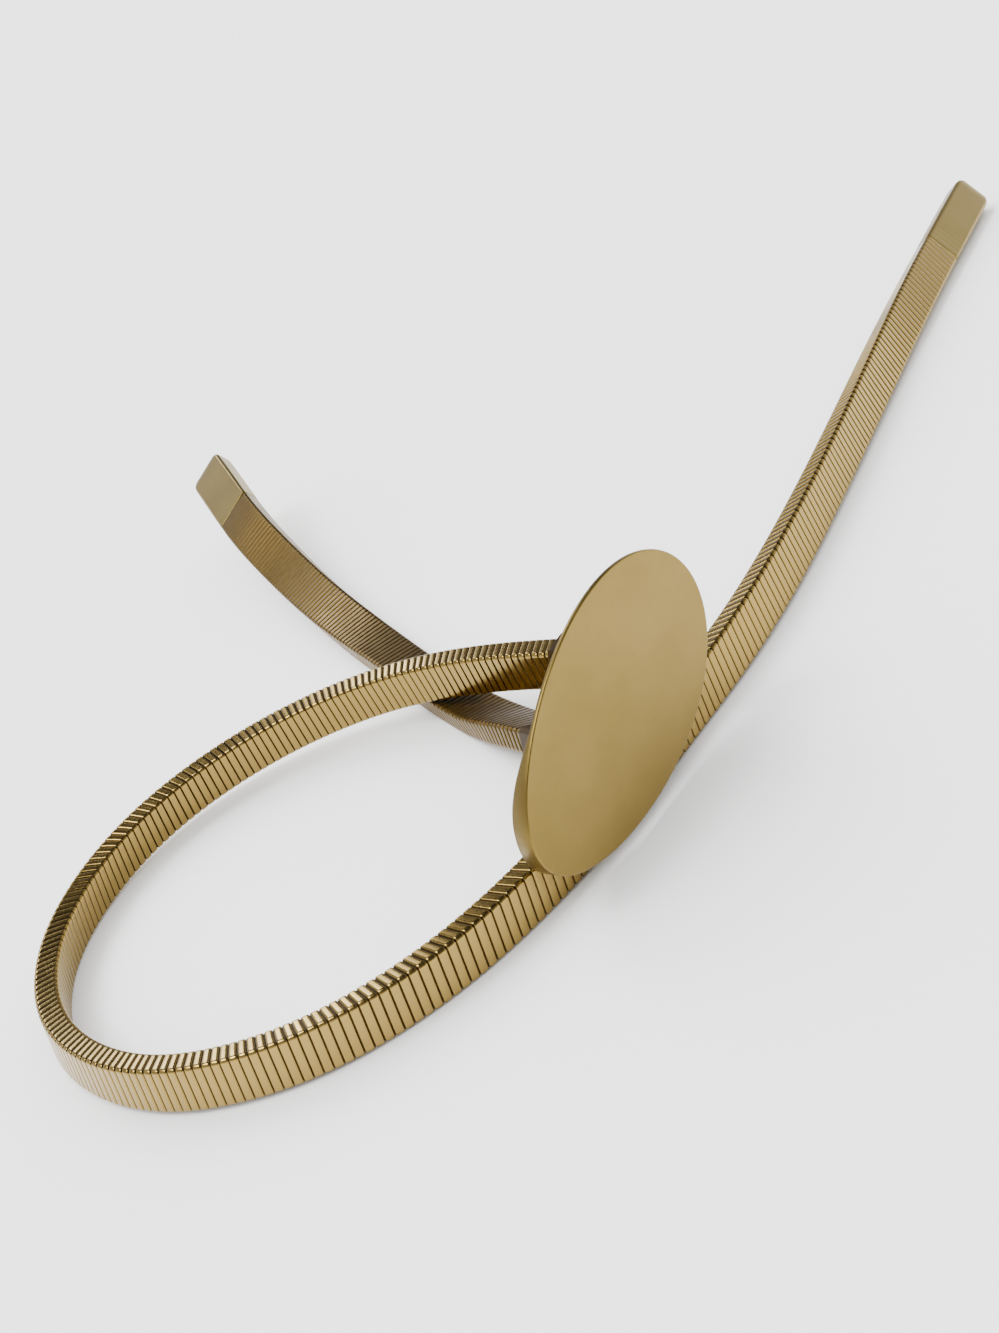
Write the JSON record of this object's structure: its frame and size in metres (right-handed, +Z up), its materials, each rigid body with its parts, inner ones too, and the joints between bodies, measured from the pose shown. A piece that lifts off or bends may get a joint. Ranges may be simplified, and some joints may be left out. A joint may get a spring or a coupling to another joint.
{
  "type": "chain belt",
  "caption": "Gold-coloured belt of flat wound flexible band with an oval plaque, lying in an open loop with both ends free.",
  "frame": {"origin": "middle of the belt's footprint, on the surface it lies on", "axes": "+X to the right and +Y away as the picture shows the belt, +Z up"},
  "size_m": [0.2996, 0.2778, 0.0436],
  "materials": {
    "band_long": "polished pale gold plate over wound brass strip",
    "band_short": "polished pale gold plate over wound brass strip",
    "end_cap_long": "satin pale gold plate",
    "end_cap_short": "satin pale gold plate",
    "plaque": "brushed satin pale gold plate",
    "bracket": "plain plated brass"
  },
  "bodies": {
    "root": {"band_long": "band_long", "band_short": "band_short", "end_cap_long": "end_cap_long", "end_cap_short": "end_cap_short", "plaque": "plaque", "bracket": "bracket"}
  },
  "joints": []
}
